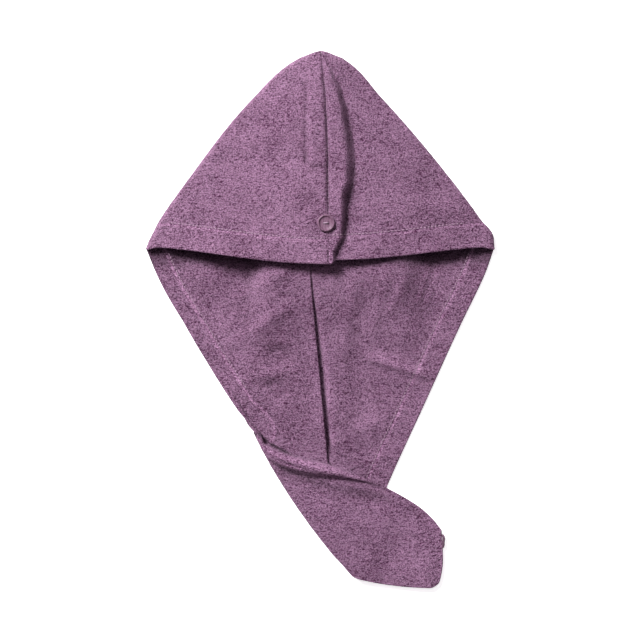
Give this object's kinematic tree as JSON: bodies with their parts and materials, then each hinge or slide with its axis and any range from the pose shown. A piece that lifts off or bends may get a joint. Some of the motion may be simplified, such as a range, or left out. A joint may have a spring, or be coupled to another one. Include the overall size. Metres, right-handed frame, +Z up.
{
  "type": "hair turban towel",
  "caption": "Terry hair turban towel laid flat, nape side up: open puffed hood with a seam and button, and a tail folded across with a cord loop.",
  "frame": {"origin": "centre of the bottom of the bounding box, on the surface that the towel lies on", "axes": "+Y from the tail to the crown, +X to the right seen from above, +Z up from the surface"},
  "size_m": [0.4018, 0.618, 0.0442],
  "materials": {
    "terry": "looped terry pile, dusty purple",
    "button": "satin, dyed to the cloth",
    "thread": "twisted sewing thread",
    "loop": "braided elastic cord"
  },
  "bodies": {
    "root": {"left_panel": "terry", "right_panel": "terry", "button": "button", "button_thread": "thread", "tail_loop": "loop"}
  },
  "joints": []
}
